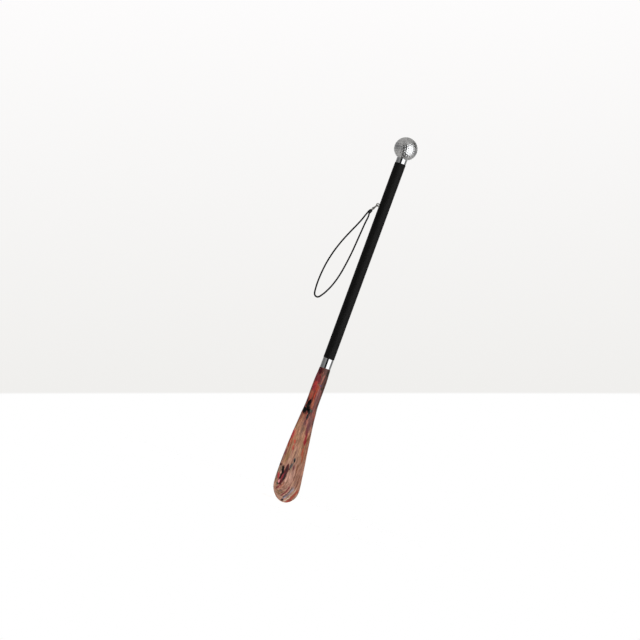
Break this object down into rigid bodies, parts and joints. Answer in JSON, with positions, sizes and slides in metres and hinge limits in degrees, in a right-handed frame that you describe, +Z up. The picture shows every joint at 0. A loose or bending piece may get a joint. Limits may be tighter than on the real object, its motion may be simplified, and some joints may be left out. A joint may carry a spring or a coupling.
{
  "type": "long-handled shoehorn",
  "caption": "Long-handled shoehorn: dimpled chrome ball knob, leather-covered shaft, chrome ferrule, hollowed burl-wood blade and a thin wrist cord.",
  "frame": {"origin": "centre of the ball knob, on the shaft's axis", "axes": "+Z up the shaft with the blade hanging down; the hollow side of the blade faces -Y; the screw eye and the cord are on the -X side"},
  "size_m": [0.1005, 0.0491, 0.6926],
  "materials": {
    "chrome": "polished",
    "steel": "dark nickel-plated, satin",
    "brass": "machined",
    "core_wood": "bare beech",
    "leather": "smooth black, semi-matte",
    "thread": "waxed thread",
    "burl_wood": "multicoloured burl, lacquered",
    "cord_cap": "matte",
    "cord": "waxed braided cord"
  },
  "bodies": {
    "handle": {"ball_knob": "chrome", "knob_stud": "steel", "knob_collar": "chrome", "threaded_insert": "brass", "shaft_core": "core_wood", "leather_sleeve": "leather", "seam_thread": "thread", "ferrule": "chrome", "dowel_screw": "steel", "blade": "burl_wood", "screw_eye": "steel"},
    "ring": {"jump_ring": "steel"},
    "loop": {"cord_crimp": "steel", "cord_sleeve": "cord_cap", "cord_loop": "cord"}
  },
  "joints": [
    {"name": "ring_swing", "type": "hinge", "parent": "handle", "child": "ring", "pos_m": [-0.01529, 0, -0.11413], "axis": [0.8192, 0, -0.5736], "range_deg": [-60, 60]},
    {"name": "loop_swing", "type": "hinge", "parent": "ring", "child": "loop", "pos_m": [-0.01971, 0, -0.12044], "axis": [0, 1, 0], "range_deg": [-8, 100]}
  ]
}
